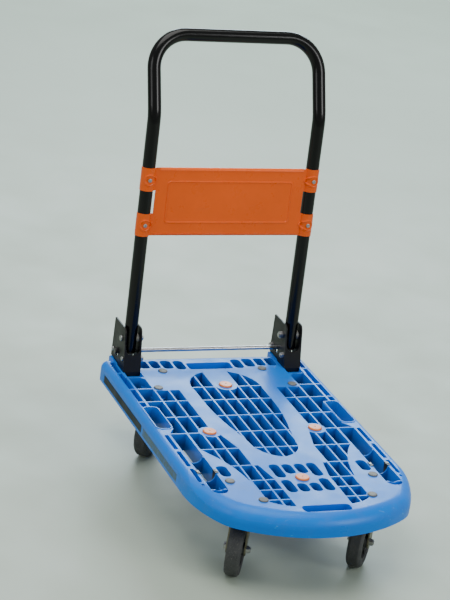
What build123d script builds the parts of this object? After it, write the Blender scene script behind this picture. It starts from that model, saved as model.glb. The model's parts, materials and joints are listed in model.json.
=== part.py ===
"""Folding platform cart: moulded grid deck, fold-down tube handle, four swivel casters.

Working axes while modelling, in millimetres: x to the cart's right, y towards the handle,
z up from the load face of the deck.  place() moves every piece into the part's own frame,
which stands on the floor at z = 0 under the middle of the cart's bounding box.
"""
import os
from math import acos, asin, atan2, cos, degrees, radians, sin, sqrt, tan

from build123d import *

os.makedirs("parts", exist_ok=True)

# ---------------------------------------------------------------- driving dimensions
DECK_HEIGHT = 139.0        # load face above the floor
DECK_WIDTH = 401.0
DECK_FRONT = -324.0        # nose of the rounded front
DECK_REAR = 316.5          # straight rear wall
DECK_DEPTH = 36.0          # height of the outer wall
DECK_EDGE_RADIUS = 13.0    # round between load face and side walls
NOSE_EDGE_RADIUS = 25.0    # the same round at the nose
WALL = 3.6                 # outer wall thickness
SKIN = 3.6                 # thickness of the closed parts of the load face
RIB = 3.2                  # thickness of the grid ribs
RIB_DEPTH = 32.0

LONG_RIBS = [0, 22.8, 45.8, 69.0, 93.5, 115.5, 141.7, 174.6]      # each side of x = 0
CROSS_RIBS = [251.4, 182.3, 128.8, 64.3, 0.0, -63.0, -127.0, -181.6, -217.0, -251.9]

TUBE_RADIUS = 12.0
TUBE_WALL = 1.2
HANDLE_X = 159.0           # tube centres each side of x = 0
PIVOT = (284.0, 55.0)      # y, z of the fold axis
LEAN = 3.0                 # lower tubes lean back by this, degrees
GRIP_LEAN = 22.8           # upper part leans back by this, degrees
LOWER_LENGTH = 420.5       # pivot to bend, along the tube
UPPER_LENGTH = 142.8       # bend to grip bar, along the tube
FOOT_LENGTH = 27.4         # pivot to the end of the foot plug
BEND_RADIUS = 80.0
CORNER_RADIUS = 62.0
FOLDED_SLOPE = 8.2         # folded tubes run down towards the front by this, degrees

WHEEL_RADIUS = 47.5
TYRE_WIDTH = 25.0
TRAIL = 28.0               # swivel axis to axle
CASTER_HEIGHT = 118.0      # floor to the pad that the caster is bolted to
CASTER_X = 114.8
CASTER_Y = {"front": -216.0, "rear": 219.4}
CASTER_BOLTS = 77.4        # hole spacing of the caster's two-hole plate
CASTER_SWING = {"front_left": 30.0, "front_right": 38.0, "rear_left": 40.0, "rear_right": 35.0}

BRACKET_WIDTH = 33.0
BRACKET_SHEET = 2.5
BRACKET_TOP = 79.0
BRACKET_FRONT = 253.0
BRACKET_REAR = 328.0
BRACKET_BOTTOM = -32.0
BRACKET_TOE = 312.0        # rear end of the part sunk in the deck

ROD_RADIUS = 4.0
ROD_YZ = (298.4, 23.4)
ROD_TRAVEL = 8.0
STOP_YZ = (266.6, 21.5)
TIE_YZ = (319.5, 19.0)

PLATE_LOW, PLATE_HIGH = 202.0, 319.5     # handle plate, along the tube from the pivot
CLIP_Y = -144.0                          # folded-handle clip
RIVET_RADIUS = 1.2
RIVET_X = [HANDLE_X - 16.6, HANDLE_X + 16.6]
EPS = 0.3                                # gap between pieces that only lie side by side

BASE = (Align.CENTER, Align.CENTER, Align.MIN)


# ---------------------------------------------------------------- helpers
def handle_point(along, lean=LEAN, start=PIVOT):
    """y, z of a point at a distance along a tube that leans back from the vertical."""
    return start[0] + along * sin(radians(lean)), start[1] + along * cos(radians(lean))


BEND_YZ = handle_point(LOWER_LENGTH)
GRIP_YZ = handle_point(UPPER_LENGTH, GRIP_LEAN, BEND_YZ)
FOLD_ANGLE = 90.0 + LEAN + FOLDED_SLOPE
Y_SHIFT = -(DECK_FRONT + GRIP_YZ[0] + TUBE_RADIUS) / 2


def save(name, *solids):
    """Write one node: a single solid, or a group of separate ones."""
    found = [piece for shape in solids for piece in shape.solids()]
    shape = found[0] if len(found) == 1 else Compound(found)
    export_step(Pos(0, Y_SHIFT, DECK_HEIGHT) * shape, f"parts/{name}.step")


def box(x0, x1, y0, y1, z0, z1):
    return Pos((x0 + x1) / 2, (y0 + y1) / 2, (z0 + z1) / 2) * Box(x1 - x0, y1 - y0, z1 - z0)


def rounded(x0, x1, y0, y1, radius):
    """Rounded rectangle in plan."""
    return Pos((x0 + x1) / 2, (y0 + y1) / 2) * RectangleRounded(x1 - x0, y1 - y0, radius)


def both_sides(shape):
    return shape + mirror(shape, about=Plane.YZ)


def prism(sketch, z_top, z_bottom):
    return extrude(Pos(0, 0, z_bottom) * sketch, amount=z_top - z_bottom)


def side_profile(points):
    """Closed outline given as y, z pairs, as a face in the plane x = 0."""
    return make_face(Polyline(*[(0, y, z) for y, z in points], close=True))


def across(profile, x0, x1):
    """Extrude a face in the plane x = 0 from x0 to x1."""
    return Pos(x0, 0, 0) * extrude(profile, amount=x1 - x0, dir=(1, 0, 0))


def cross_pin(radius, x0, x1, yz):
    """Cylinder along x."""
    return Pos((x0 + x1) / 2, *yz) * (Rot(0, 90, 0) * Cylinder(radius, x1 - x0))


def hex_prism(across_flats, x0, x1, yz):
    nut = extrude(RegularPolygon(across_flats / 2, 6, major_radius=False), amount=x1 - x0)
    return Pos(x0, *yz) * (Rot(0, 90, 0) * nut)


def pieces(*shapes):
    """Flatten shapes into a list of solids."""
    return [piece for shape in shapes for piece in shape.solids()]


# ---------------------------------------------------------------- deck
def deck_outline(width=DECK_WIDTH):
    """Straight sides and rear, nose rounded by three tangent arcs on each side."""
    nose_radius, nose_sweep = 266.0, 34.4
    shoulder_radius, shoulder_sweep = 72.0, 25.2
    turned = nose_sweep + shoulder_sweep
    reach = nose_radius * sin(radians(nose_sweep)) + shoulder_radius * (
        sin(radians(turned)) - sin(radians(nose_sweep))
    )
    flank_radius = (width / 2 - reach) / (1 - sin(radians(turned)))
    corner = 15.0
    nose = JernArc((0, DECK_FRONT), (1, 0), nose_radius, nose_sweep)
    shoulder = JernArc(nose @ 1, nose % 1, shoulder_radius, shoulder_sweep)
    flank = JernArc(shoulder @ 1, shoulder % 1, flank_radius, 90 - turned)
    side = Line(flank @ 1, (width / 2, DECK_REAR - corner))
    rear_corner = JernArc(side @ 1, (0, 1), corner, 90)
    rear = Line(rear_corner @ 1, (0, DECK_REAR))
    half = Curve() + [nose, shoulder, flank, side, rear_corner, rear]
    return make_face(half + mirror(half, about=Plane.YZ))


def deck_block(inset, bottom):
    """Solid inside the outer skin, inset all round, with the wider round at the nose."""
    block = None
    for width, radius in ((DECK_WIDTH, DECK_EDGE_RADIUS), (DECK_WIDTH + 32, NOSE_EDGE_RADIUS)):
        outline = deck_outline(width)
        if width > DECK_WIDTH:
            outline += Pos(0, DECK_REAR) * Rectangle(width, 40)
        outline = offset(outline, -inset) if inset else outline
        layer = prism(outline, -inset, bottom)
        top = layer.faces().sort_by(Axis.Z)[-1].edges()
        if width > DECK_WIDTH:
            top = top.filter_by(lambda e: e.center().Y < DECK_REAR - 30)
        layer = fillet(top, radius - inset)
        block = layer if block is None else block & layer
    return block


def oval_window():
    """Large grid opening in the middle, with a tongue reaching in from the rear."""
    half = Curve() + [
        Line((0, 246), (24, 246)),
        ThreePointArc((24, 246), (53, 224), (66, 170)),
        Line((66, 170), (66, 128)),
        ThreePointArc((66, 128), (62, 62), (51, 0)),
        Line((51, 0), (43, -46)),
        ThreePointArc((43, -46), (29, -84), (0, -101)),
    ]
    window = make_face(half + mirror(half, about=Plane.YZ))
    tongue = Pos(0, 220) * Rectangle(48, 64) + Pos(0, 188) * Circle(21.5)
    return window - tongue


def side_window():
    """Grid opening along the right side, with the rounded boss of the side cap left in it."""
    edge = Curve() + [
        Line((95, 173), (143.2, 173)),
        Line((143.2, 173), (143.2, 222)),
        Line((143.2, 222), (151, 230)),
        Line((151, 230), (173, 230)),
        Line((173, 230), (173, 108)),
        Line((173, 108), (160.4, 108)),
        Line((160.4, 108), (160.4, 20)),
        Line((160.4, 20), (173, 1.6)),
        Line((173, 1.6), (140, 1.6)),
        Line((140, 1.6), (140, -64)),
        ThreePointArc((140, -64), (114, -112), (97, -180)),
        Line((97, -180), (92, -184)),
        Line((92, -184), (92, -256)),
        ThreePointArc((92, -256), (73, -270), (50, -277)),
        Line((50, -277), (51, -178)),
        Line((51, -178), (60, -128)),
        Line((60, -128), (70.5, -128)),
        Line((70.5, -128), (70.5, -64)),
        Line((70.5, -64), (82, -17)),
        Line((82, -17), (95, 20)),
        Line((95, 20), (95, 173)),
    ]
    return make_face(edge) - Pos(100, 2) * Circle(20)


def channel_window():
    """Trough that takes the folded tube, with a round front end."""
    width = 29.3
    front = -221.0
    straight = Pos(HANDLE_X, (front + width / 2 - 1.6) / 2) * Rectangle(width, -1.6 - front - width / 2)
    return straight + Pos(HANDLE_X, front + width / 2) * Circle(width / 2)


def clear_windows():
    """Openings of the right half that no grid rib crosses."""
    hand_hold = rounded(162.0, 188.0, 21.0, 106.0, 9.0)
    slots = [
        rounded(178.2, 185.8, -58, -3, 3),
        rounded(178.2, 185.8, -122, -66, 3),
        rounded(178.2, 185.2, -178, -130, 3),
        Pos(181, -187) * Circle(3),
    ]
    pills = [
        rounded(25.0, 43.4, -176, -128, 8.5),
        rounded(25.0, 43.4, -229, -185, 8.5),
        rounded(2.4, 20.6, -164, -129, 8.5),
        rounded(2.4, 20.6, -229, -199, 8.5),
    ]
    rear_cells = [
        rounded(47.8, 67.3, 260, 298, 8),
        rounded(71.5, 91.5, 265, 300, 7),
        rounded(95.7, 113.5, 268, 300, 6),
        rounded(117.5, 135.5, 268, 300, 6),
    ]
    crescent = rounded(119.5, 138.0, -164, -126, 8)
    return [hand_hold, crescent, channel_window()] + slots + pills + rear_cells


def outer_column():
    """Narrow grid column outside the side window."""
    return rounded(177.0, 187.5, 109.5, 297.0, 3)


def lattice():
    """Plan of the straight grid ribs."""
    length = DECK_REAR - DECK_FRONT
    centre = (DECK_REAR + DECK_FRONT) / 2
    plan = Sketch()
    for x in LONG_RIBS:
        plan += both_sides(Pos(x, centre) * Rectangle(RIB, length))
    for y in CROSS_RIBS:
        plan += Pos(0, y) * Rectangle(DECK_WIDTH, RIB)
    return plan


def caster_centre(key):
    end, side = key.split("_")
    return (-1 if side == "left" else 1) * CASTER_X, CASTER_Y[end]


def caster_bolt_angle(key):
    """Direction in plan of the line through the caster's two bolts."""
    lean = 25.0
    end, side = key.split("_")
    return 90 + lean * (1 if (end == "front") == (side == "left") else -1)


def caster_plate_outline(key, grow=0.0):
    x, y = caster_centre(key)
    ears = SlotCenterToCenter(CASTER_BOLTS, 2 * (12.0 + grow))
    return Pos(x, y) * (Rot(0, 0, caster_bolt_angle(key)) * (ears + Circle(30.0 + grow)))


def caster_bolt_centres(key):
    x, y = caster_centre(key)
    turn = radians(caster_bolt_angle(key))
    reach = CASTER_BOLTS / 2
    return [(x + sign * reach * cos(turn), y + sign * reach * sin(turn)) for sign in (-1, 1)]


CAP_CENTRES = [(0, 188), (0, -180.5), (100, 2), (-100, 2)]
CAP_RADIUS = 12.5
CAP_STEM = 8.0
SOCKET_X0 = HANDLE_X - BRACKET_WIDTH / 2 - EPS      # bracket socket in the deck, right side
SOCKET_X1 = HANDLE_X + BRACKET_WIDTH / 2 + EPS
SOCKET_WALL = 3.2
RAMP_START = 230.0                                  # ramp down to the front of the bracket
RAMP_DEPTH = 8.0
EAR_TOP = 3.0
PAD_Z = CASTER_HEIGHT - DECK_HEIGHT                 # underside that the casters bolt to
PAD_THICKNESS = 6.0
LABEL_Y = (66.0, 284.0)                             # shallow label recess in each side wall
LABEL_Z = (-32.0, -15.5)


def socket_block():
    """Moulded block around the sunk foot of the right handle bracket, with an ear behind it."""
    ear_reach = BRACKET_REAR - 1.0
    profile = side_profile([
        (RAMP_START, -DECK_DEPTH + 1),
        (RAMP_START, -0.1),
        (286, -0.1),
        (290, EAR_TOP),
        (ear_reach - 3, EAR_TOP),
        (ear_reach, EAR_TOP - 4),
        (ear_reach, -12),
        (DECK_REAR - 1, -26),
        (DECK_REAR - 1, -DECK_DEPTH + 1),
    ])
    return across(profile, SOCKET_X0 - SOCKET_WALL, SOCKET_X1 + SOCKET_WALL)


def ramp_cut():
    """Sloped recess in front of the right bracket."""
    profile = side_profile([
        (RAMP_START + 1, 0), (BRACKET_FRONT, -RAMP_DEPTH), (BRACKET_FRONT, 5), (RAMP_START + 1, 5),
    ])
    return across(profile, SOCKET_X0 + 0.5, SOCKET_X1 - 2.0)


def socket_pocket():
    return box(SOCKET_X0, SOCKET_X1, BRACKET_FRONT - EPS, BRACKET_TOE + EPS, BRACKET_BOTTOM - EPS, 20)


FIXING_YZ = [(266.0, -19.0), (286.0, -19.0)]        # bolts holding the bracket in its socket


def saddle_rib(y):
    return box(HANDLE_X - 15.2, HANDLE_X + 15.2, y - 1.4, y + 1.4, -RIB_DEPTH, -0.6)


def folded_tube_space(extra):
    """Room taken by the folded right tube, grown all round."""
    slope = radians(FOLDED_SLOPE)
    rise = radians(GRIP_LEAN - LEAN - FOLDED_SLOPE)
    bend = (PIVOT[0] - LOWER_LENGTH * cos(slope), PIVOT[1] - LOWER_LENGTH * sin(slope))
    end = (bend[0] - UPPER_LENGTH * cos(rise), bend[1] + UPPER_LENGTH * sin(rise))
    path = FilletPolyline(
        (HANDLE_X, *PIVOT), (HANDLE_X, *bend), (HANDLE_X, *end), radius=BEND_RADIUS
    )
    section = Plane(origin=path @ 0, z_dir=path % 0) * Circle(TUBE_RADIUS + extra)
    return sweep(section, path=path)


def deck_shell(outer, windows):
    """Outer skin with every opening of the load face cut through it."""
    inner = deck_block(WALL, -DECK_DEPTH - 1)
    return outer - [inner] - [prism(window, 1, -SKIN - 1) for window in windows]


def deck_ribs(grid_windows, closed):
    """Grid ribs and the walls round every opening."""
    plan = lattice() + [offset(window, RIB) - window for window in grid_windows + closed]
    return prism(plan - closed, -0.01, -RIB_DEPTH)


def caster_rooms():
    """Space cleared under the deck for each caster."""
    rooms = []
    for key in CASTER_SWING:
        x, y = caster_centre(key)
        depth = DECK_DEPTH + 1 + PAD_Z
        rooms.append(prism(caster_plate_outline(key, 2.5), PAD_Z, -DECK_DEPTH - 1))
        rooms.append(Pos(x, y, -DECK_DEPTH - 1) * Cylinder(38.5, depth, align=BASE))
    return rooms


def make_deck():
    outer = deck_block(0, -DECK_DEPTH)
    grid_windows = [both_sides(side_window()), oval_window(), both_sides(outer_column())]
    closed = [both_sides(window) for window in clear_windows()]
    trays = [rounded(-43.4, 43.4, 259, 287, 6), rounded(-43.4, 43.4, -298, -277, 8)]
    hand_hold = rounded(162.0, 188.0, 21.0, 106.0, 9.0)
    fixing_holes = []
    for yz in FIXING_YZ:
        hole = cross_pin(3.3, SOCKET_X0 - 14, SOCKET_X1 + 8, yz)
        hole += cross_pin(7.0, SOCKET_X0 - SOCKET_WALL - 9, SOCKET_X0 - SOCKET_WALL, yz)
        hole += cross_pin(7.0, SOCKET_X1 + SOCKET_WALL, SOCKET_X1 + SOCKET_WALL + 5, yz)
        fixing_holes.append(both_sides(hole))
    rivet_holes = [
        both_sides(Pos(x, CLIP_Y, -RIB_DEPTH - 1) * Cylinder(RIVET_RADIUS, 50, align=BASE))
        for x in RIVET_X
    ]

    walls = [prism(offset(tray, 3.0), -0.01, -15) for tray in trays]
    bolt_centres = [centre for key in CASTER_SWING for centre in caster_bolt_centres(key)]
    cap_bosses = [Pos(x, y, -24) * Cylinder(19.5, 23.9, align=BASE) for x, y in CAP_CENTRES]
    pads = [
        prism(caster_plate_outline(key, 4.5), PAD_Z + PAD_THICKNESS, PAD_Z) for key in CASTER_SWING
    ]
    bolt_bosses = [Pos(x, y, PAD_Z) * Cylinder(10, -PAD_Z - 0.1, align=BASE) for x, y in bolt_centres]
    ribs = deck_ribs(grid_windows, closed)
    inside = (ribs + walls + cap_bosses - caster_rooms()) + pads + bolt_bosses
    deck = deck_shell(outer, grid_windows + closed) + (inside & outer)

    # sockets behind the handle, saddles in its channels, lips round the hand-holds
    saddles = saddle_rib(-88.6) + saddle_rib(-153.4) + saddle_rib(-206.0) - folded_tube_space(0.8)
    lip = prism(offset(hand_hold, 2.2) - hand_hold, 1.0, -3.0) - box(190.5, 200, 0, 120, -5, 5)
    holders = both_sides(socket_block()) + both_sides(saddles) - caster_rooms()
    deck += [holders, both_sides(lip)]
    cap_holes = [Pos(x, y, -30) * Cylinder(CAP_STEM + 0.05, 40, align=BASE) for x, y in CAP_CENTRES]
    bolt_holes = [Pos(x, y, PAD_Z - 1) * Cylinder(3.3, 40, align=BASE) for x, y in bolt_centres]
    tray_floors = [prism(tray, 1, -12) for tray in trays]
    recess = box(DECK_WIDTH / 2 - 0.4, DECK_WIDTH / 2 + 1, *LABEL_Y, *LABEL_Z)
    deck -= [both_sides(socket_pocket()), both_sides(ramp_cut()), both_sides(recess)]
    return deck - (
        fixing_holes + rivet_holes + cap_holes + bolt_holes + tray_floors
    )


# ---------------------------------------------------------------- brackets and their fasteners
def bracket_face():
    """Side view of a bracket's cheek: sunk foot, sloping front, flat top."""
    front_slope = 17.0
    outline = side_profile([
        (BRACKET_FRONT, BRACKET_BOTTOM),
        (BRACKET_TOE, BRACKET_BOTTOM),
        (BRACKET_TOE, EAR_TOP + EPS),
        (BRACKET_REAR, EAR_TOP + EPS),
        (BRACKET_REAR, BRACKET_TOP),
        (BRACKET_FRONT + front_slope, BRACKET_TOP),
        (BRACKET_FRONT, 0),
    ])
    return outline


def make_bracket():
    """Right handle bracket, a channel of bent sheet that is open behind and above."""
    front_wall_top = 43.0
    x0 = HANDLE_X - BRACKET_WIDTH / 2
    x1 = HANDLE_X + BRACKET_WIDTH / 2
    body = across(bracket_face(), x0, x1)
    top_edges = body.edges().filter_by(Axis.X).group_by(Axis.Z)[-1].sort_by(Axis.Y)
    body = fillet(top_edges[0], 11.0)
    top_edges = body.edges().filter_by(Axis.X).group_by(Axis.Z)[-1].sort_by(Axis.Y)
    body = fillet(top_edges[-1], 3.0)
    slope = 17.0 / BRACKET_TOP
    room = side_profile([
        (BRACKET_FRONT + BRACKET_SHEET, BRACKET_BOTTOM + BRACKET_SHEET),
        (BRACKET_REAR + 20, BRACKET_BOTTOM + BRACKET_SHEET),
        (BRACKET_REAR + 20, BRACKET_TOP + 10),
        (BRACKET_FRONT - 20, BRACKET_TOP + 10),
        (BRACKET_FRONT - 20, front_wall_top),
        (BRACKET_FRONT + BRACKET_SHEET + slope * front_wall_top, front_wall_top),
        (BRACKET_FRONT + BRACKET_SHEET, 0),
    ])
    body -= across(room, x0 + BRACKET_SHEET, x1 - BRACKET_SHEET)
    scoop = Cylinder(BRACKET_WIDTH / 2 - BRACKET_SHEET - 0.4, 44)     # round notch in the front wall
    body -= Pos(HANDLE_X, BRACKET_FRONT, front_wall_top) * (Rot(90, 0, 0) * scoop)
    body -= folded_tube_space(0.7)
    body -= cross_pin(4.1, x0 - 5, x1 + 5, PIVOT)
    for yz in (STOP_YZ, TIE_YZ):
        body -= cross_pin(3.1, x0 - 5, x1 + 5, yz)
    for yz in FIXING_YZ:
        body -= cross_pin(3.1, x0 - 5, x1 + 5, yz)
    slot = cross_pin(ROD_RADIUS + 0.35, x0 - 5, x1 + 5, ROD_YZ)
    low = (ROD_YZ[0], ROD_YZ[1] - ROD_TRAVEL)
    slot += cross_pin(ROD_RADIUS + 0.35, x0 - 5, x1 + 5, low)
    slot += box(x0 - 5, x1 + 5, ROD_YZ[0] - ROD_RADIUS - 0.35, ROD_YZ[0] + ROD_RADIUS + 0.35,
                low[1], ROD_YZ[1])
    return body - slot


def cross_bolt(radius, head_radius, head_height, yz, tail):
    """Bolt across the right bracket: domed head outside, thread end inboard."""
    x1 = HANDLE_X + BRACKET_WIDTH / 2
    x0 = HANDLE_X - BRACKET_WIDTH / 2 - tail
    head = cross_pin(head_radius, x1, x1 + head_height, yz)
    head = fillet(head.faces().sort_by(Axis.X)[-1].edges(), head_height * 0.6)
    shank = cross_pin(radius, x0, x1, yz)
    return head + shank


def lock_nut(across_flats, bore, height, yz):
    """Nut against the inboard cheek of the right bracket."""
    x1 = HANDLE_X - BRACKET_WIDTH / 2
    nut = hex_prism(across_flats, x1 - height, x1, yz)
    collar = cross_pin(across_flats * 0.42, x1 - height - 1.6, x1 - height, yz)
    return nut + collar - cross_pin(bore, x1 - height - 3, x1 + 1, yz)


def fixing_bolt(yz):
    x0 = SOCKET_X0 - SOCKET_WALL
    x1 = SOCKET_X1 + SOCKET_WALL
    head = cross_pin(5.2, x1, x1 + 3.6, yz)
    head = fillet(head.faces().sort_by(Axis.X)[-1].edges(), 1.2)
    return head + cross_pin(3.0, x0 - 6.0, x1, yz)


def fixing_nut(yz):
    x0 = SOCKET_X0 - SOCKET_WALL
    return hex_prism(10, x0 - 5, x0, yz) - cross_pin(3.0, x0 - 8, x0 + 1, yz)


# ---------------------------------------------------------------- handle
def handle_path():
    foot = handle_point(-(FOOT_LENGTH - 2.5))
    points = [
        (-HANDLE_X, *foot), (-HANDLE_X, *BEND_YZ), (-HANDLE_X, *GRIP_YZ),
        (HANDLE_X, *GRIP_YZ), (HANDLE_X, *BEND_YZ), (HANDLE_X, *foot),
    ]
    return FilletPolyline(*points, radius=[BEND_RADIUS, CORNER_RADIUS, CORNER_RADIUS, BEND_RADIUS])


def make_handle_tube():
    path = handle_path()
    ring = Circle(TUBE_RADIUS) - Circle(TUBE_RADIUS - TUBE_WALL)
    tube = sweep(Plane(origin=path @ 0, z_dir=path % 0) * ring, path=path)
    holes = [both_sides(cross_pin(6.0, HANDLE_X - 14, HANDLE_X + 14, PIVOT))]
    for along in PLATE_SCREWS:
        hole = Pos(0, -7, along) * (Rot(90, 0, 0) * Cylinder(2.0, 14))
        holes.append(both_sides(on_right_tube(hole)))
    return tube - holes


def on_right_tube(shape):
    """Put a shape made about a vertical tube through the origin onto the right lower tube."""
    return Pos(HANDLE_X, *PIVOT) * (Rot(-LEAN, 0, 0) * shape)


def make_foot_plug():
    cap = Pos(0, 0, -FOOT_LENGTH) * Cylinder(TUBE_RADIUS, 2.5, align=BASE)
    cap = fillet(cap.faces().sort_by(Axis.Z)[0].edges(), 1.0)
    stem = Pos(0, 0, -FOOT_LENGTH + 2.5) * Cylinder(TUBE_RADIUS - TUBE_WALL, 10, align=BASE)
    return on_right_tube(cap + stem)


def make_pivot_bush():
    inner_half = BRACKET_WIDTH / 2 - BRACKET_SHEET - 0.2
    body = cross_pin(6.0, -inner_half, inner_half, (0, 0))
    flanges = cross_pin(8.0, -inner_half, inner_half, (0, 0)) - cross_pin(9.0, -12.3, 12.3, (0, 0))
    return Pos(HANDLE_X, *PIVOT) * (body + flanges - cross_pin(4.06, -20, 20, (0, 0)))


PANEL_OFFSET = 4.6          # panel's mid-plane in front of the tube axis
SHEET = 1.2
EDGE_STEP = 1.0             # rolled edges stand this far in front of the panel
TAB_RADIUS = TUBE_RADIUS + 0.02
TABS = [(198.0, 240.0), (282.5, 325.0)]
PLATE_SCREWS = [219.0, 303.0]


def make_plate():
    """Pressed plate across the handle: flat panel, rolled edges, four saddles round the tubes.

    Made about an upright handle in the plane y = 0, then leaned back about the pivot.
    """
    half = HANDLE_X - TUBE_RADIUS - 3.2
    front = -PANEL_OFFSET - SHEET / 2
    panel = box(-half, half, front, front + SHEET, PLATE_LOW, PLATE_HIGH)

    # rolled top and bottom edges, curling to the rear
    bead = 5.0
    roll = Circle(bead) - Circle(bead - SHEET)
    roll_length = 2 * half - 8
    for z, keep_above in ((PLATE_HIGH, True), (PLATE_LOW, False)):
        tube = Rot(0, 90, 0) * Cylinder(bead, roll_length) - Rot(0, 90, 0) * Cylinder(bead - SHEET, roll_length + 2)
        cut = box(-half, half, -bead - 1, bead + 1, -bead - 1, 0) if keep_above else box(
            -half, half, -bead - 1, bead + 1, 0, bead + 1)
        panel += Pos(0, front + bead - EDGE_STEP, z) * (tube - cut)

    # raised frame pressed into the panel
    frame_out = Pos(0, (PLATE_LOW + PLATE_HIGH) / 2) * RectangleRounded(2 * half - 44, PLATE_HIGH - PLATE_LOW - 38, 7)
    frame_in = offset(frame_out, -3.2)
    step = Plane.XZ.offset(-front) * (frame_out - frame_in)
    raised = extrude(step, amount=1.1, taper=38)
    panel += raised

    # saddles
    for z0, z1 in TABS:
        for side in (-1, 1):
            shell = Cylinder(TAB_RADIUS + SHEET, z1 - z0) - Cylinder(TAB_RADIUS, z1 - z0 + 2)
            shell -= box(-20, 20, 2.0, 20, -60, 60)
            shell -= box(-20, 0, front + SHEET + 3.2, 20, -60, 60) if side > 0 else box(
                0, 20, front + SHEET + 3.2, 20, -60, 60)
            web = box(-half, -half + 6, front, front + SHEET, z0, z1) if side < 0 else box(
                half - 6, half, front, front + SHEET, z0, z1)
            link_in = half - 2
            link_out = HANDLE_X - TUBE_RADIUS + 1.2
            link = box(link_in, link_out, front, front + SHEET, z0, z1)
            link = link if side > 0 else mirror(link, about=Plane.YZ)
            link -= Pos(side * HANDLE_X, 0, (z0 + z1) / 2) * Cylinder(TAB_RADIUS, z1 - z0 + 2)
            panel += Pos(side * HANDLE_X, 0, (z0 + z1) / 2) * shell + web + link
    for z in PLATE_SCREWS:
        for side in (-1, 1):
            panel -= Pos(side * HANDLE_X, -10, z) * (Rot(90, 0, 0) * Cylinder(2.05, 20))
    return Pos(0, *PIVOT) * (Rot(-LEAN, 0, 0) * panel)


def make_plate_screws():
    """Pan-head screws through the saddles into the tubes."""
    screws = []
    for z in PLATE_SCREWS:
        for side in (-1, 1):
            face = -(TAB_RADIUS + SHEET)
            head = Cylinder(3.6, 2.2, align=BASE)
            head = fillet(head.faces().sort_by(Axis.Z)[-1].edges(), 1.2)
            head -= Pos(0, 0, 1.3) * (Box(4.0, 0.8, 2, align=BASE) + Box(0.8, 4.0, 2, align=BASE))
            shank = Pos(0, 0, -8) * Cylinder(2.0, 8, align=BASE)
            screws.append(Pos(side * HANDLE_X, face - 0.02, z) * (Rot(90, 0, 0) * (head + shank)))
    return [Pos(0, *PIVOT) * (Rot(-LEAN, 0, 0) * screw) for screw in screws]


# ---------------------------------------------------------------- release rod
def make_rod():
    half = HANDLE_X + BRACKET_WIDTH / 2 + 4.0
    rod = cross_pin(ROD_RADIUS, -half, half, ROD_YZ)
    return chamfer(rod.edges().filter_by(GeomType.CIRCLE), 0.6)


def make_rod_cap():
    """Push-on cap that keeps the rod in its slots, right side."""
    x1 = HANDLE_X + BRACKET_WIDTH / 2
    cap = cross_pin(6.0, x1 + 0.6, x1 + 5.4, ROD_YZ)
    cap = fillet(cap.faces().sort_by(Axis.X)[-1].edges(), 1.6)
    return cap - cross_pin(ROD_RADIUS, x1 - 5, x1 + 4.0, ROD_YZ)


def make_rod_spring():
    """Compression spring that lifts the rod, right side."""
    wire = 0.7
    bottom = BRACKET_BOTTOM + BRACKET_SHEET + wire + 0.1
    top = ROD_YZ[1] - ROD_RADIUS - wire - 0.2
    helix = Helix(pitch=(top - bottom) / 9, height=top - bottom, radius=3.4)
    coil = sweep(Plane(origin=helix @ 0, z_dir=helix % 0) * Circle(wire), path=helix, is_frenet=True)
    return Pos(HANDLE_X, ROD_YZ[0], bottom) * coil


# ---------------------------------------------------------------- folded-handle clips
def make_clip():
    """Sprung steel saddle in the right handle channel, hooked over both of its walls."""
    sheet = 1.0
    half = 14.65 - 0.25
    width = 13.0
    floor = -26.0
    lip = 4.6
    arm = box(half - sheet, half, -width / 2, width / 2, floor, 0.5)
    arm += box(half - sheet, half + lip, -width / 2, width / 2, 0.3, 0.3 + sheet)
    arm += box(half - sheet - 0.5, half, -width / 2, width / 2, -2.0, 0.3 + sheet)
    taper = side_profile([(-width, floor - 1), (-width, -4), (-width / 2, -4), (-3.4, floor - 1)])
    taper += side_profile([(width, floor - 1), (width, -4), (width / 2, -4), (3.4, floor - 1)])
    arm -= across(taper, half - 5, half + 5)
    base = box(-half, half, -3.6, 3.6, floor - sheet, floor)
    clip = arm + mirror(arm, about=Plane.YZ) + base
    clip = Pos(HANDLE_X, CLIP_Y, 0) * clip
    return clip - [Pos(x, CLIP_Y, 0) * Cylinder(RIVET_RADIUS, 6) for x in RIVET_X]


def make_clip_rivets():
    """Rivets through the clip's lips into the channel walls, right side."""
    rivets = []
    for x in RIVET_X:
        head = Pos(x, CLIP_Y, 1.3) * Cylinder(2.2, 1.0, align=BASE)
        head = fillet(head.faces().sort_by(Axis.Z)[-1].edges(), 0.6)
        rivets.append(head + Pos(x, CLIP_Y, -6.0) * Cylinder(RIVET_RADIUS, 7.3, align=BASE))
    return rivets


# ---------------------------------------------------------------- caster bolts and caps
def make_cap(x, y):
    """Domed push-in cap with a small hole in its crown."""
    dome = Cylinder(CAP_RADIUS, 3.2, align=BASE)
    dome = fillet(dome.faces().sort_by(Axis.Z)[-1].edges(), 2.4)
    stem = Pos(0, 0, -14) * Cylinder(CAP_STEM, 14, align=BASE)
    stem -= Pos(0, 0, -15) * Cylinder(CAP_STEM - 1.6, 13, align=BASE)
    stem -= Pos(0, 0, -10) * Box(30, 2.0, 12)
    return Pos(x, y, 0) * (dome + stem - Pos(0, 0, -5) * Cylinder(1.4, 12, align=BASE))


def make_caster_bolt(x, y):
    head = Cylinder(8.6, 2.4, align=BASE)
    head = fillet(head.faces().sort_by(Axis.Z)[-1].edges(), 1.9)
    shank = Pos(0, 0, PAD_Z - 10.5) * Cylinder(3.0, 10.5 - PAD_Z, align=BASE)
    return Pos(x, y, 0) * (head + shank)


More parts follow.
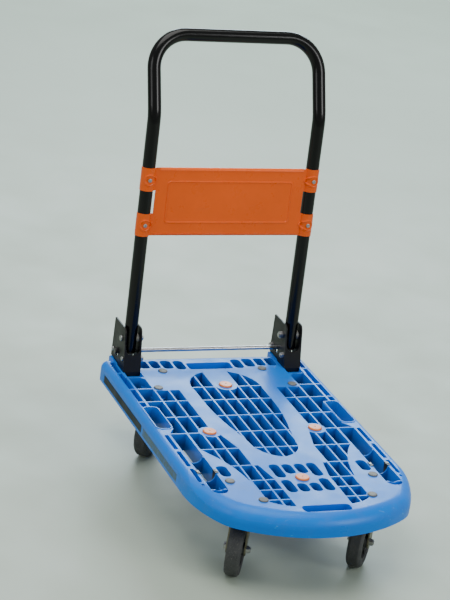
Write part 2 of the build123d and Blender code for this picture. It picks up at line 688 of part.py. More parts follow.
def make_caster_nut(x, y):
    thick = 3.0
    flange = Pos(0, 0, -1.4) * Cylinder(6.4, 1.4, align=BASE)
    nut = flange + Pos(0, 0, -6.2) * extrude(RegularPolygon(5.0, 6, major_radius=False), amount=5)
    nut -= Pos(0, 0, -8) * Cylinder(3.0, 10, align=BASE)
    return Pos(x, y, PAD_Z - thick) * nut


# ---------------------------------------------------------------- casters
PLATE_THICKNESS = 3.0
BALL_RADIUS = 2.5
BALL_CIRCLE = 11.5
RACE_RADIUS = 16.5
BALL_Z = PAD_Z - 8.5
FORK_TOP = BALL_Z - 1.2
FORK_SHEET = 2.6
FORK_HALF = 16.6           # outside of the fork's legs
AXLE_Z = WHEEL_RADIUS - DECK_HEIGHT
HUB_HALF = 13.7
AXLE_RADIUS = 4.0


def ball_groove(gap):
    return Pos(0, 0, BALL_Z) * Torus(BALL_CIRCLE, BALL_RADIUS + gap)


def make_caster_plate(key):
    x, y = caster_centre(key)
    depth = PAD_Z - PLATE_THICKNESS - BALL_Z - 1.2
    race = Pos(x, y, BALL_Z + 1.2) * Cylinder(RACE_RADIUS, depth, align=BASE)
    race = fillet(race.faces().sort_by(Axis.Z)[0].edges().sort_by(SortBy.RADIUS)[-1], 1.6)
    plate = prism(caster_plate_outline(key), PAD_Z, PAD_Z - PLATE_THICKNESS) + race
    plate -= Pos(x, y, 0) * ball_groove(0.05)
    plate -= Pos(x, y, PAD_Z - 20) * Cylinder(5.0, 30, align=BASE)
    for bx, by in caster_bolt_centres(key):
        plate -= Pos(bx, by, PAD_Z - 10) * Cylinder(3.2, 20, align=BASE)
    return plate


def make_kingpin(key):
    """Headed pin riveted into the top plate; the fork hangs on its head."""
    x, y = caster_centre(key)
    head_top = FORK_TOP - 3.3 - 0.1
    head = Pos(0, 0, head_top - 3.2) * Cylinder(9.0, 3.2, align=BASE)
    head = fillet(head.faces().sort_by(Axis.Z)[0].edges(), 1.5)
    return Pos(x, y, 0) * (head + Pos(0, 0, head_top) * Cylinder(5.0, PAD_Z - head_top, align=BASE))


def in_caster(key, shape):
    """Place a shape made with the swivel axis at the origin and the wheel trailing along -y."""
    x, y = caster_centre(key)
    return Pos(x, y, 0) * (Rot(0, 0, -CASTER_SWING[key]) * shape)


def make_fork(key):
    """Pressed fork: flat crown with the lower ball race, two legs raked back to the axle."""
    leg_end = 11.5
    crown_bottom = FORK_TOP - 3.3
    axle = (-TRAIL, AXLE_Z)
    profile = side_profile([
        (21, FORK_TOP), (21, crown_bottom - 3),
        (-TRAIL + leg_end * 0.93, AXLE_Z + leg_end * 0.37), (-TRAIL, AXLE_Z - leg_end * 0.2),
        (-TRAIL - leg_end * 0.98, AXLE_Z + leg_end * 0.2),
        (-30, crown_bottom - 8), (-29, FORK_TOP),
    ])
    fork = across(profile, -FORK_HALF, FORK_HALF) + cross_pin(leg_end, -FORK_HALF, FORK_HALF, axle)
    gap = FORK_HALF - FORK_SHEET
    fork -= box(-gap, gap, -60, 40, AXLE_Z - 20, crown_bottom)
    top_edges = fork.edges().filter_by(Axis.Y).group_by(Axis.Z)[-1]
    fork = fillet(top_edges, 2.4)
    fork -= ball_groove(0.35)
    fork -= Pos(0, 0, FORK_TOP - 10) * Cylinder(5.06, 30, align=BASE)
    fork -= cross_pin(AXLE_RADIUS, -40, 40, axle)
    return in_caster(key, fork)


def make_balls(key):
    count = 12
    balls = [
        in_caster(key, Rot(0, 0, 360 / count * k) * (Pos(BALL_CIRCLE, 0, BALL_Z) * Sphere(BALL_RADIUS)))
        for k in range(count)
    ]
    return balls


def make_axle(key):
    axle = (-TRAIL, AXLE_Z)
    head = hex_prism(12, -FORK_HALF - 4.4, -FORK_HALF, axle)
    shank = cross_pin(AXLE_RADIUS, -FORK_HALF - 0.5, FORK_HALF + 7.4, axle)
    return in_caster(key, head + shank)


def make_axle_nut(key):
    axle = (-TRAIL, AXLE_Z)
    nut = hex_prism(12, FORK_HALF, FORK_HALF + 4.6, axle)
    nut += cross_pin(5.2, FORK_HALF + 4.6, FORK_HALF + 6.4, axle)
    return in_caster(key, nut - cross_pin(AXLE_RADIUS, FORK_HALF - 1, FORK_HALF + 12, axle))


def turned(points):
    """Solid of revolution about the x axis from x, radius pairs."""
    return revolve(make_face(Polyline(*[(x, r, 0) for x, r in points], close=True)), Axis.X)


def make_hub(key):
    half = TYRE_WIDTH / 2 - 1.5
    hub = turned([
        (-HUB_HALF, 6.5), (HUB_HALF, 6.5), (HUB_HALF, 11), (half - 6, 13), (half - 6, 29),
        (half, 31), (half, 35), (2.2, 35), (2.2, 37), (-2.2, 37), (-2.2, 35), (-half, 35),
        (-half, 31), (-half + 6, 29), (-half + 6, 13), (-HUB_HALF, 11),
    ])
    for k in range(5):
        spoke = Box(2 * half - 2, 20, 3.0)
        hub += Rot(72 * k, 0, 0) * (Pos(0, 21, 0) * spoke)
    return in_caster(key, Pos(0, -TRAIL, AXLE_Z) * hub)


def make_tyre(key):
    half = TYRE_WIDTH / 2
    shoulder = 4.0
    tread = WHEEL_RADIUS
    tyre = turned([
        (-half + 1.5, 35), (-2.2, 35), (-2.2, 37), (2.2, 37), (2.2, 35), (half - 1.5, 35),
        (half, 37.0), (half, tread - shoulder), (half - shoulder, tread), (-half + shoulder, tread),
        (-half, tread - shoulder), (-half, 37.0),
    ])
    rounds = tyre.edges().filter_by(lambda e: abs(e.bounding_box().size.Y / 2 - tread) < 0.01)
    rounds += tyre.edges().filter_by(
        lambda e: abs(e.bounding_box().size.Y / 2 - tread + shoulder) < 0.01)
    tyre = fillet(rounds, 3.0)
    return in_caster(key, Pos(0, -TRAIL, AXLE_Z) * tyre)


def make_wheel_bush(key):
    bush = turned([(-HUB_HALF, 4.06), (HUB_HALF, 4.06), (HUB_HALF, 6.5), (-HUB_HALF, 6.5)])
    return in_caster(key, Pos(0, -TRAIL, AXLE_Z) * bush)


# ---------------------------------------------------------------- write every node
def both(shape):
    return pieces(shape, mirror(shape, about=Plane.YZ))


def main():
    save("deck", make_deck())
    save("deck_cap", *[make_cap(x, y) for x, y in CAP_CENTRES])
    bolts = [centre for key in CASTER_SWING for centre in caster_bolt_centres(key)]
    save("caster_bolt", *[make_caster_bolt(x, y) for x, y in bolts])
    save("caster_nut", *[make_caster_nut(x, y) for x, y in bolts])

    bracket = make_bracket()
    save("bracket_right", bracket)
    save("bracket_left", mirror(bracket, about=Plane.YZ))
    save("pivot_bolt", *both(cross_bolt(4.0, 5.6, 3.0, PIVOT, 8.0)))
    save("pivot_nut", *both(lock_nut(13, 4.0, 5.0, PIVOT)))
    cross = [cross_bolt(3.0, 4.4, 2.6, yz, 6.6) for yz in (STOP_YZ, TIE_YZ)]
    save("cross_bolt", *[piece for bolt in cross for piece in both(bolt)])
    nuts = [lock_nut(10, 3.0, 4.4, yz) for yz in (STOP_YZ, TIE_YZ)]
    save("cross_nut", *[piece for nut in nuts for piece in both(nut)])
    inner = BRACKET_WIDTH / 2 - BRACKET_SHEET - 0.3
    sleeve = cross_pin(5.2, HANDLE_X - inner, HANDLE_X + inner, STOP_YZ)
    save("stop_sleeve", *both(sleeve - cross_pin(3.0, HANDLE_X - 20, HANDLE_X + 20, STOP_YZ)))
    save("bracket_bolt", *[piece for yz in FIXING_YZ for piece in both(fixing_bolt(yz))])
    save("bracket_nut", *[piece for yz in FIXING_YZ for piece in both(fixing_nut(yz))])

    clip = make_clip()
    save("handle_clip_right", clip)
    save("handle_clip_left", mirror(clip, about=Plane.YZ))
    save("clip_rivet", *[piece for rivet in make_clip_rivets() for piece in both(rivet)])

    save("handle_tube", make_handle_tube())
    save("foot_plug", *both(make_foot_plug()))
    save("pivot_bush", *both(make_pivot_bush()))
    save("handle_plate", make_plate())
    save("plate_screw", *make_plate_screws())

    save("release_rod", make_rod())
    save("rod_cap", *both(make_rod_cap()))
    save("rod_spring", *both(make_rod_spring()))

    save("kingpin", *[make_kingpin(key) for key in CASTER_SWING])
    for key in CASTER_SWING:
        save(f"caster_plate_{key}", make_caster_plate(key))
        save(f"swivel_balls_{key}", *make_balls(key))
        save(f"fork_{key}", make_fork(key))
        save(f"axle_{key}", make_axle(key))
        save(f"axle_nut_{key}", make_axle_nut(key))
        save(f"wheel_hub_{key}", make_hub(key))
        save(f"tyre_{key}", make_tyre(key))
        save(f"wheel_bush_{key}", make_wheel_bush(key))


main()
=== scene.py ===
"""Looks for the folding platform cart: materials, pressed rings, blank labels, rod springs,
floor, light and camera.  Lengths are in metres."""

import json
import math

import bpy
from mathutils import Matrix, Vector


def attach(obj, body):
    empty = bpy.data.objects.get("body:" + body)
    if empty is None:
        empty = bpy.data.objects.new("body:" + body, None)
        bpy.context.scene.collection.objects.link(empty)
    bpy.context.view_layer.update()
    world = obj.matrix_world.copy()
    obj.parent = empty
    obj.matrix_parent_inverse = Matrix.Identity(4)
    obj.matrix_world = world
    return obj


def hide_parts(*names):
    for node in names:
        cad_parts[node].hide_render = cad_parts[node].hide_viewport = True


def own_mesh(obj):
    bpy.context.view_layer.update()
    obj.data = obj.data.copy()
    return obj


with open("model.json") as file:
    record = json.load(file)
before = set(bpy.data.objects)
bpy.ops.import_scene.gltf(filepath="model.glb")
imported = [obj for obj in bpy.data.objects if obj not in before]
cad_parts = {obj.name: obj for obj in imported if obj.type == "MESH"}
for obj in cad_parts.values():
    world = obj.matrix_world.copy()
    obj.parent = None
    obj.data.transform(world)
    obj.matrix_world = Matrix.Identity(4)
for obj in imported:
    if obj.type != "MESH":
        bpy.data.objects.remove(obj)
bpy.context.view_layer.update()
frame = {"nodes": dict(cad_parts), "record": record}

# places on the part, in metres, in the frame that part.py uses
DECK_TOP = 0.139
SIDE_WALL = 0.2005                          # outside of the deck's straight side walls, from x = 0
PRINT_LOW, PRINT_HIGH = 0.1082, 0.1222      # printed bands on the side walls, above the floor
PIVOT = Vector((0.0, 0.25933, 0.194))       # middle of the fold axis
LEAN = math.radians(3.0)                    # the handle's lower tubes lean back by this
TUBE_X = 0.159                              # tube centres, each side of x = 0
SADDLE = 0.01322                            # outside of the saddles, from the tube's axis
PANEL = 0.0052                              # front of the flat panel, from the same axis
SCREWS = (("low", 0.219), ("high", 0.303))  # plate screws, along the tube from the pivot


# ---------------------------------------------------------------- material building blocks
class Nodes:
    """A material's node tree, with short calls for the few kinds of node used here."""

    def __init__(self, name):
        self.material = bpy.data.materials.new(name)
        self.material.use_nodes = True
        self.tree = self.material.node_tree
        self.shader = self.tree.nodes["Principled BSDF"]
        self.where = self.add("ShaderNodeTexCoord").outputs["Object"]

    def add(self, kind, **settings):
        node = self.tree.nodes.new(kind)
        for key, value in settings.items():
            setattr(node, key, value)
        return node

    def link(self, source, target):
        self.tree.links.new(source, target)

    def noise(self, scale, detail=4.0, rough=0.55, stretch=(1, 1, 1), turn=(0, 0, 0), distort=0.0):
        mapping = self.add("ShaderNodeMapping")
        mapping.inputs["Scale"].default_value = stretch
        mapping.inputs["Rotation"].default_value = turn
        self.link(self.where, mapping.inputs["Vector"])
        node = self.add("ShaderNodeTexNoise")
        node.inputs["Scale"].default_value = scale
        node.inputs["Detail"].default_value = detail
        node.inputs["Roughness"].default_value = rough
        node.inputs["Distortion"].default_value = distort
        self.link(mapping.outputs["Vector"], node.inputs["Vector"])
        return node.outputs["Fac"]

    def span(self, value, low, high, out_low=0.0, out_high=1.0):
        node = self.add("ShaderNodeMapRange", clamp=True)
        for key, number in (("From Min", low), ("From Max", high),
                            ("To Min", out_low), ("To Max", out_high)):
            node.inputs[key].default_value = number
        self.link(value, node.inputs["Value"])
        return node.outputs["Result"]

    def maths(self, operation, a, b):
        node = self.add("ShaderNodeMath", operation=operation, use_clamp=True)
        for slot, value in zip(node.inputs, (a, b)):
            if isinstance(value, (int, float)):
                slot.default_value = value
            else:
                self.link(value, slot)
        return node.outputs["Value"]

    def raw(self, operation, a, b):
        """Like maths, without the clamp to 0...1."""
        result = self.maths(operation, a, b)
        result.node.use_clamp = False
        return result

    def blend(self, amount, first, second):
        node = self.add("ShaderNodeMix", data_type="RGBA")
        self.link(amount, node.inputs["Factor"])
        for key, value in (("A", first), ("B", second)):
            slot = [s for s in node.inputs if s.name == key and s.type == "RGBA"][0]
            if isinstance(value, tuple):
                slot.default_value = (*value, 1.0)
            else:
                self.link(value, slot)
        return [s for s in node.outputs if s.type == "RGBA"][0]

    def edges(self, radius):
        """1 on convex and concave edges, 0 on flats: how far a rounded normal leaves the true one."""
        bevel = self.add("ShaderNodeBevel", samples=4)
        bevel.inputs["Radius"].default_value = radius
        geometry = self.add("ShaderNodeNewGeometry")
        dot = self.add("ShaderNodeVectorMath", operation="DOT_PRODUCT")
        self.link(bevel.outputs["Normal"], dot.inputs[0])
        self.link(geometry.outputs["Normal"], dot.inputs[1])
        return self.span(dot.outputs["Value"], 0.98, 0.75)

    def scratches(self, density, fineness=1.0):
        """Thin lines in three directions, each a strongly stretched noise cut near its crest."""
        total = None
        for turn, stretch in (((0.0, 0.0, 0.5), (1, 26, 14)), ((0.3, 0.1, 2.1), (1, 34, 20)),
                              ((0.2, 1.3, 1.2), (22, 1, 30))):
            line = self.noise(9.0 * fineness, 3.0, 0.6, stretch, turn, 0.35)
            line = self.span(line, 0.70 - density, 0.74 - density)
            total = line if total is None else self.maths("MAXIMUM", total, line)
        patches = self.span(self.noise(13.0, 3.0), 0.45, 0.62)
        return self.maths("MULTIPLY", total, patches)

    def bump(self, height, distance, strength=1.0, rounded=None):
        node = self.add("ShaderNodeBump")
        node.inputs["Distance"].default_value = distance
        node.inputs["Strength"].default_value = strength
        self.link(height, node.inputs["Height"])
        if rounded:
            bevel = self.add("ShaderNodeBevel", samples=4)
            bevel.inputs["Radius"].default_value = rounded
            self.link(bevel.outputs["Normal"], node.inputs["Normal"])
        self.link(node.outputs["Normal"], self.shader.inputs["Normal"])

    def finish(self, colour, roughness, **constants):
        self.link(colour, self.shader.inputs["Base Color"])
        self.link(roughness, self.shader.inputs["Roughness"])
        for key, value in constants.items():
            self.shader.inputs[key.replace("_", " ")].default_value = value
        return self.material


def deck_cell_shade(n):
    """Painted shade in the deck's cells: a mask below the load face and inboard of the outer wall,
    where the cells lie in shade.
    """
    place = n.add("ShaderNodeSeparateXYZ")
    n.link(n.where, place.inputs["Vector"])
    deep = n.span(place.outputs["Z"], DECK_TOP - 0.0015, DECK_TOP - 0.021)
    sideways = n.span(n.raw("ABSOLUTE", place.outputs["X"], 0.0), 0.0, 0.178)
    forward = n.span(place.outputs["Y"], -0.16, -0.325)
    reach = n.raw("ADD", n.raw("MULTIPLY", sideways, sideways), n.raw("MULTIPLY", forward, forward))
    inboard = n.span(reach, 1.0, 0.93)
    patchy = n.span(n.noise(30.0, 5.0, 0.6), 0.25, 0.6, 0.62, 0.86)
    return n.maths("MULTIPLY", n.maths("MULTIPLY", deep, inboard), patchy)


def side_print(n):
    """Plain printed band low on each straight side wall, forward of the label recess."""
    place = n.add("ShaderNodeSeparateXYZ")
    n.link(n.where, place.inputs["Vector"])
    edge = 0.0004
    band = n.span(n.raw("ABSOLUTE", place.outputs["X"], 0.0), SIDE_WALL - edge, SIDE_WALL - edge / 2)
    for axis, low, high in (("Y", -0.142, 0.034), ("Z", PRINT_LOW, PRINT_HIGH)):
        band = n.maths("MULTIPLY", band, n.span(place.outputs[axis], low - edge, low))
        band = n.maths("MULTIPLY", band, n.span(place.outputs[axis], high + edge, high))
    return n.maths("MULTIPLY", band, n.span(n.noise(120.0, 5.0, 0.7), 0.30, 0.52, 0.45, 0.92))


def moulded(name, colour, shade, scuff, rough=(0.26, 0.42), grain=900.0, scuffs=0.02, rounded=0.0007,
            sheen=0.5, tint=(1, 1, 1), painted_cell_shade=None):
    """Injection moulded plastic: faint flow marks, fine grain, pale scuffs and rubbed edges; given a
    shade colour, also painted shade in the deck's cells and a printed band on the side walls.
    """
    n = Nodes(name)
    flow = n.span(n.noise(5.0, 3.0, 0.5, (1, 1, 2.5), distort=1.2), 0.3, 0.7)
    base = n.blend(flow, colour, shade)
    dust = n.span(n.noise(38.0, 6.0, 0.7), 0.50, 0.78, 0.0, 0.30)
    base = n.blend(dust, base, tuple(0.6 * c + 0.09 for c in shade))
    marks = n.scratches(scuffs)
    edge = n.maths("MULTIPLY", n.edges(0.0011), n.span(n.noise(60.0, 4.0), 0.42, 0.66, 0.0, 0.75))
    worn = n.maths("MAXIMUM", n.maths("MULTIPLY", marks, 0.6), edge)
    base = n.blend(worn, base, scuff)
    # deck only: painted shade darkens the cells, then the printed band goes on the side walls
    if painted_cell_shade:
        base = n.blend(deck_cell_shade(n), base, painted_cell_shade)
        base = n.blend(side_print(n), base, (0.060, 0.100, 0.085))
    roughness = n.span(n.noise(24.0, 5.0, 0.65), 0.3, 0.7, *rough)
    roughness = n.maths("ADD", roughness, n.maths("MULTIPLY", worn, 0.25))
    height = n.maths("SUBTRACT", n.noise(grain, 2.0), n.maths("MULTIPLY", marks, 0.5))
    n.bump(height, 0.00006, 0.5, rounded)
    return n.finish(base, roughness, Specular_IOR_Level=sheen, Specular_Tint=(*tint, 1))


def powder_coat(name, colour, chip, rough=(0.16, 0.30), peel=420.0, chips=0.66, coat=0.3,
                sheen=0.5):
    """Baked paint on steel: orange peel, fine rub marks, chips down to metal on the edges."""
    n = Nodes(name)
    tone = n.span(n.noise(9.0, 4.0, 0.6), 0.3, 0.7)
    base = n.blend(tone, colour, tuple(0.86 * c for c in colour))
    marks = n.scratches(0.0, 1.6)
    edge = n.maths("MULTIPLY", n.edges(0.0009), n.span(n.noise(150.0, 5.0, 0.7), 0.50, 0.60))
    nick = n.maths("MULTIPLY", n.span(n.noise(95.0, 5.0, 0.75), chips, chips + 0.03), 0.85)
    bare = n.maths("MAXIMUM", edge, nick)
    base = n.blend(n.maths("MULTIPLY", marks, 0.25), base, tuple(0.60 * c + 0.06 for c in colour))
    base = n.blend(bare, base, chip)
    roughness = n.span(n.noise(30.0, 5.0, 0.7), 0.3, 0.7, *rough)
    roughness = n.maths("ADD", roughness, n.maths("MULTIPLY", marks, 0.2))
    roughness = n.maths("ADD", roughness, n.maths("MULTIPLY", bare, 0.3))
    height = n.maths("SUBTRACT", n.noise(peel, 1.5), n.maths("MULTIPLY", bare, 0.9))
    n.bump(height, 0.00008, 0.35, 0.0004)
    return n.finish(base, roughness, Coat_Weight=coat, Coat_Roughness=0.08, Specular_IOR_Level=sheen)


def plated(name, colour, stain, rough=(0.18, 0.36), spots=0.58, metallic=0.95, rounded=0.0003):
    """Plated steel: cloudy sheen, small dull spots and faint drawing lines."""
    n = Nodes(name)
    cloud = n.span(n.noise(45.0, 5.0, 0.6), 0.3, 0.7)
    base = n.blend(cloud, colour, tuple(0.82 * c for c in colour))
    spot = n.span(n.noise(260.0, 6.0, 0.75), spots, spots + 0.07, 0.0, 0.8)
    base = n.blend(spot, base, stain)
    lines = n.noise(60.0, 2.0, 0.5, (1, 1, 18))
    roughness = n.span(n.maths("ADD", n.maths("MULTIPLY", lines, 0.5),
                               n.maths("MULTIPLY", cloud, 0.5)), 0.3, 0.8, *rough)
    roughness = n.maths("ADD", roughness, n.maths("MULTIPLY", spot, 0.35))
    n.bump(n.maths("SUBTRACT", lines, n.maths("MULTIPLY", spot, 0.6)), 0.00003, 0.5, rounded)
    return n.finish(base, roughness, Metallic=metallic)


def tyre_rubber(name):
    """Dark moulded rubber, dusty, with a paler worn band of fine cracks and grit."""
    n = Nodes(name)
    cloud = n.span(n.noise(30.0, 6.0, 0.7), 0.3, 0.72)
    base = n.blend(cloud, (0.030, 0.032, 0.035), (0.062, 0.064, 0.066))
    grit = n.span(n.noise(420.0, 5.0, 0.8), 0.56, 0.66, 0.0, 0.7)
    base = n.blend(grit, base, (0.16, 0.155, 0.145))
    worn = n.maths("MULTIPLY", n.edges(0.002), n.span(n.noise(80.0, 4.0), 0.4, 0.6, 0.0, 0.5))
    base = n.blend(worn, base, (0.13, 0.13, 0.13))
    roughness = n.span(n.noise(90.0, 4.0), 0.3, 0.7, 0.55, 0.85)
    n.bump(n.noise(700.0, 4.0, 0.7), 0.00012, 0.6, 0.0006)
    return n.finish(base, roughness)


# the deck's last colour, a dark blue, is painted shade laid in its cells
DECK = moulded("deck_blue", (0.0, 0.215, 0.88), (0.0, 0.180, 0.78), (0.12, 0.46, 0.88),
               rough=(0.27, 0.42), scuffs=0.03, sheen=0.34, tint=(0.55, 0.86, 1.0),
               painted_cell_shade=(0.001, 0.045, 0.21))
CAPS = moulded("cap_orange", (0.90, 0.24, 0.050), (0.80, 0.19, 0.035), (0.90, 0.50, 0.28),
               rounded=0.0005)
BLACK_PLASTIC = moulded("plug_black", (0.012, 0.012, 0.013), (0.018, 0.018, 0.019),
                        (0.09, 0.09, 0.09))
HUB = moulded("hub_black", (0.018, 0.019, 0.021), (0.026, 0.027, 0.029), (0.10, 0.10, 0.10),
              rough=(0.4, 0.6))
BUSH = moulded("bush_natural", (0.66, 0.64, 0.58), (0.60, 0.58, 0.52), (0.8, 0.8, 0.76))
LABEL = moulded("label_dark", (0.008, 0.014, 0.024), (0.020, 0.034, 0.038), (0.12, 0.17, 0.18),
                rough=(0.42, 0.60), scuffs=0.05, sheen=0.2)
HANDLE = powder_coat("handle_black", (0.003, 0.003, 0.0035), (0.14, 0.13, 0.12), rough=(0.13, 0.24),
                      chips=0.77, coat=0.0, sheen=0.30)
BRACKET = powder_coat("bracket_black", (0.005, 0.005, 0.006), (0.16, 0.15, 0.13),
                      rough=(0.36, 0.52), chips=0.74, coat=0.0, sheen=0.3)
ORANGE = powder_coat("plate_orange", (1.0, 0.125, 0.0), (0.60, 0.24, 0.10),
                     rough=(0.24, 0.36), chips=0.84, coat=0.08, sheen=0.32)
CHROME = plated("rod_chrome", (0.66, 0.67, 0.69), (0.36, 0.33, 0.30), rough=(0.16, 0.26),
                spots=0.68)
FASTENER = plated("bolt_zinc", (0.44, 0.445, 0.45), (0.20, 0.18, 0.15), rough=(0.30, 0.46))
DULL = plated("bolt_dull", (0.20, 0.20, 0.195), (0.11, 0.09, 0.07), rough=(0.50, 0.66),
              metallic=0.55)
FORK = plated("fork_zinc", (0.27, 0.25, 0.18), (0.12, 0.10, 0.07), rough=(0.32, 0.52),
              rounded=0.0005)
SPRING = plated("spring_black", (0.10, 0.098, 0.095), (0.12, 0.08, 0.05), rough=(0.32, 0.5))
TYRE = tyre_rubber("tyre_grey")

FINISH = {
    "deck_plastic": DECK, "cap_plastic": CAPS, "handle_paint": HANDLE, "bracket_paint": BRACKET,
    "orange_paint": ORANGE, "black_plastic": BLACK_PLASTIC, "bush_plastic": BUSH,
    "hub_plastic": HUB, "tread_rubber": TYRE, "rod_chrome": CHROME, "spring_steel": SPRING,
    "zinc_plate": FORK, "fastener_steel": FASTENER,
}
for part in frame["record"]["subparts"]:
    mesh = frame["nodes"][part["node"]].data
    mesh.materials.clear()
    mesh.materials.append(DULL if part["node"] == "caster_bolt" else FINISH[part["material_slot"]])


# ---------------------------------------------------------------- rings, labels and rod springs
def add_piece(name, vertices, faces, material, body):
    mesh = bpy.data.meshes.new(name)
    mesh.from_pydata([tuple(v) for v in vertices], [], faces)
    for face in mesh.polygons:
        face.use_smooth = True
    mesh.materials.append(material)
    piece = bpy.data.objects.new(name, mesh)
    bpy.context.scene.collection.objects.link(piece)
    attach(piece, body)
    return piece


def arc_points(centre, radius, start, end, count):
    angles = [start + (end - start) * k / count for k in range(count + 1)]
    return [(centre + radius * math.cos(a), radius * math.sin(a)) for a in angles]


def line_points(start, end, count):
    """Points between start and end, without either."""
    return [(start[0] + (end[0] - start[0]) * k / count, start[1] + (end[1] - start[1]) * k / count)
            for k in range(1, count)]


def drop_outline():
    """Teardrop about a screw: the outline round a large circle and a small one nearer the plate."""
    large, small, reach = 0.0092, 0.0042, 0.0140
    turn = math.acos((large - small) / reach)
    outer = arc_points(0.0, large, turn, 2 * math.pi - turn, 32)
    tip = arc_points(reach, small, -turn, turn, 14)
    return outer + line_points(outer[-1], tip[0], 8) + tip + line_points(tip[-1], outer[0], 8)


def pressed_ring(name, side, along):
    """Raised teardrop bead on a saddle, round the screw at that distance up the tube."""
    outline = drop_outline()
    section = [(-0.0021, -0.0003), (-0.0015, 0.0008), (-0.0006, 0.0015), (0.0006, 0.0015),
               (0.0015, 0.0008), (0.0021, -0.0003)]
    tilt = Matrix.Rotation(-LEAN, 4, "X")
    wrap = SADDLE * math.acos(PANEL / SADDLE)
    vertices, faces = [], []
    count = len(outline)
    for k, (u, v) in enumerate(outline):
        before, after = outline[k - 1], outline[(k + 1) % count]
        du, dv = after[0] - before[0], after[1] - before[1]
        length = math.hypot(du, dv)
        for sideways, up in section:
            su = u + sideways * dv / length
            sv = v - sideways * du / length
            turned = min(su, wrap)
            angle = turned / SADDLE
            reach = SADDLE + (up if su < wrap else 0.0)
            inward = reach * math.sin(angle) + su - turned
            front = reach * math.cos(angle) + (0.0 if su < wrap else up)
            local = Vector((side * (TUBE_X - inward), -front, along + sv))
            vertices.append(PIVOT + tilt @ local)
    rows = len(section)
    for k in range(count):
        ahead = (k + 1) % count
        for r in range(rows):
            up = (r + 1) % rows
            faces.append((k * rows + r, k * rows + up, ahead * rows + up, ahead * rows + r))
    add_piece(name, vertices, faces, ORANGE, "handle")


def blank_label(name, side):
    """Printed strip with nothing readable on it, laid in the shallow recess of a side wall."""
    y0, y1, z0, z1 = 0.0445, 0.2565, PRINT_LOW, PRINT_HIGH
    deep, proud, corner = SIDE_WALL - 0.00042, SIDE_WALL - 0.00014, 0.0015
    edge = []
    for cy, cz, first in ((y1, z1, 0), (y0, z1, 90), (y0, z0, 180), (y1, z0, 270)):
        sy = -1 if cy == y1 else 1
        sz = -1 if cz == z1 else 1
        for k in range(7):
            a = math.radians(first + 15 * k)
            y = cy + sy * corner + corner * math.cos(a)
            edge.append((y, cz + sz * corner + corner * math.sin(a)))
    vertices = [(side * deep, y, z) for y, z in edge] + [(side * proud, y, z) for y, z in edge]
    count = len(edge)
    faces = [tuple(range(count)), tuple(range(2 * count - 1, count - 1, -1))]
    faces += [(k, count + k, count + (k + 1) % count, (k + 1) % count) for k in range(count)]
    piece = add_piece(name, vertices, faces, LABEL, "cart")
    for face in piece.data.polygons:
        face.use_smooth = False


def spring_line(steps_per_turn=30):
    """Centre line of a rod spring about the origin: closed end turns, open turns between them."""
    wire, radius, low, high, turns = 0.0007, 0.0034, 0.1103, 0.1575, 10.5
    count = int(turns * steps_per_turn)
    points = []
    for k in range(count + 1):
        turned = k / steps_per_turn
        open_share = min(max((turned - 1) / (turns - 2), 0), 1)
        closed = min(turned, 1) + min(max(turned - turns + 1, 0), 1)
        rise = closed * 2 * wire + open_share * (high - low - 4 * wire)
        angle = 2 * math.pi * turned
        points.append(Vector((radius * math.cos(angle), radius * math.sin(angle), low + rise)))
    return points, wire


def rod_springs():
    """Both springs under the release rod, built at full height; on the cart they shorten as the rod
    goes down.
    """
    points, wire = spring_line()
    vertices, faces = [], []
    around = 8
    for x in (-TUBE_X, TUBE_X):
        first = len(vertices)
        middle = Vector((x, 0.27373, 0.0))
        for k, point in enumerate(points):
            ahead = points[min(k + 1, len(points) - 1)] - points[max(k - 1, 0)]
            out = Vector((point.x, point.y, 0)).normalized()
            up = ahead.normalized().cross(out)
            for r in range(around):
                a = 2 * math.pi * r / around
                vertices.append(middle + point + wire * (math.cos(a) * out + math.sin(a) * up))
        for k in range(len(points) - 1):
            for r in range(around):
                low = first + k * around
                faces.append((low + r, low + (r + 1) % around,
                              low + around + (r + 1) % around, low + around + r))
        last = len(vertices)
        faces.append(tuple(range(first + around - 1, first - 1, -1)))
        faces.append(tuple(range(last - around, last)))
    piece = add_piece("rod_springs", vertices, faces, SPRING, "cart")
    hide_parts("rod_spring")
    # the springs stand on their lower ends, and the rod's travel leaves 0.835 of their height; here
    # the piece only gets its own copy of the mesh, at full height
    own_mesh(piece)


rod_springs()
for side, where in ((-1, "left"), (1, "right")):
    blank_label("label_" + where, side)
    for level, along in SCREWS:
        pressed_ring("ring_" + where + "_" + level, side, along)


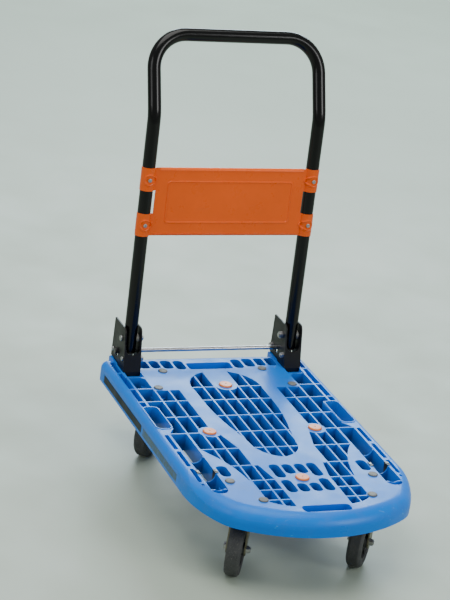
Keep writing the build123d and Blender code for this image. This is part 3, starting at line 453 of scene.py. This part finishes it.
# ---------------------------------------------------------------- floor, light, camera
def floor():
    size = 14.0
    points = [(x, y, 0.0) for x, y in ((-size, -size), (size, -size), (size, size), (-size, size))]
    mesh = bpy.data.meshes.new("floor")
    mesh.from_pydata(points, [], [(0, 1, 2, 3)])
    piece = bpy.data.objects.new("floor", mesh)
    bpy.context.scene.collection.objects.link(piece)
    n = Nodes("floor_pale")
    tone = n.span(n.noise(1.4, 3.0), 0.3, 0.7)
    base = n.blend(tone, (0.45, 0.52, 0.44), (0.41, 0.48, 0.40))
    roughness = n.span(n.noise(6.0, 4.0), 0.3, 0.7, 0.42, 0.52)
    mesh.materials.append(n.finish(base, roughness))


def area_light(name, place, target, size, power, colour=(1, 1, 1)):
    data = bpy.data.lights.new(name, "AREA")
    data.shape = "RECTANGLE"
    data.size, data.size_y = size
    data.energy = power
    data.color = colour
    lamp = bpy.data.objects.new(name, data)
    lamp.location = place
    lamp.rotation_euler = (Vector(target) - Vector(place)).to_track_quat("-Z", "Y").to_euler()
    bpy.context.scene.collection.objects.link(lamp)


def camera():
    """The photographer stands front left, looks down on the deck, and tilts the camera a little."""
    place = Vector((-1.4861, -3.1624, 1.7304))
    azimuth, down, roll = math.radians(23.712), math.radians(21.392), math.radians(8.325)
    forward = Vector((math.sin(azimuth) * math.cos(down), math.cos(azimuth) * math.cos(down),
                      -math.sin(down)))
    data = bpy.data.cameras.new("camera")
    data.sensor_fit = "VERTICAL"
    data.angle = math.radians(15.66)
    piece = bpy.data.objects.new("camera", data)
    turn = forward.to_track_quat("-Z", "Y").to_matrix().to_4x4() @ Matrix.Rotation(roll, 4, "Z")
    piece.matrix_world = Matrix.Translation(place) @ turn
    bpy.context.scene.collection.objects.link(piece)
    bpy.context.scene.camera = piece


floor()
area_light("overhead", (-0.6, 0.4, 4.2), (0, 0, 0.2), (3.4, 3.4), 145, (1.0, 0.99, 0.96))
area_light("behind", (1.9, 4.3, 2.1), (0, 0.1, 0.2), (3.0, 1.5), 150, (0.78, 0.94, 1.0))
area_light("left", (-4.0, -1.0, 2.2), (0, 0, 0.3), (1.8, 2.0), 34)
area_light("front_right", (3.0, -3.6, 2.6), (0, 0, 0.4), (2.0, 2.0), 95)
world = bpy.data.worlds.new("studio")
world.use_nodes = True
world.node_tree.nodes["Background"].inputs["Color"].default_value = (0.80, 0.84, 0.80, 1)
world.node_tree.nodes["Background"].inputs["Strength"].default_value = 0.38
bpy.context.scene.world = world
camera()
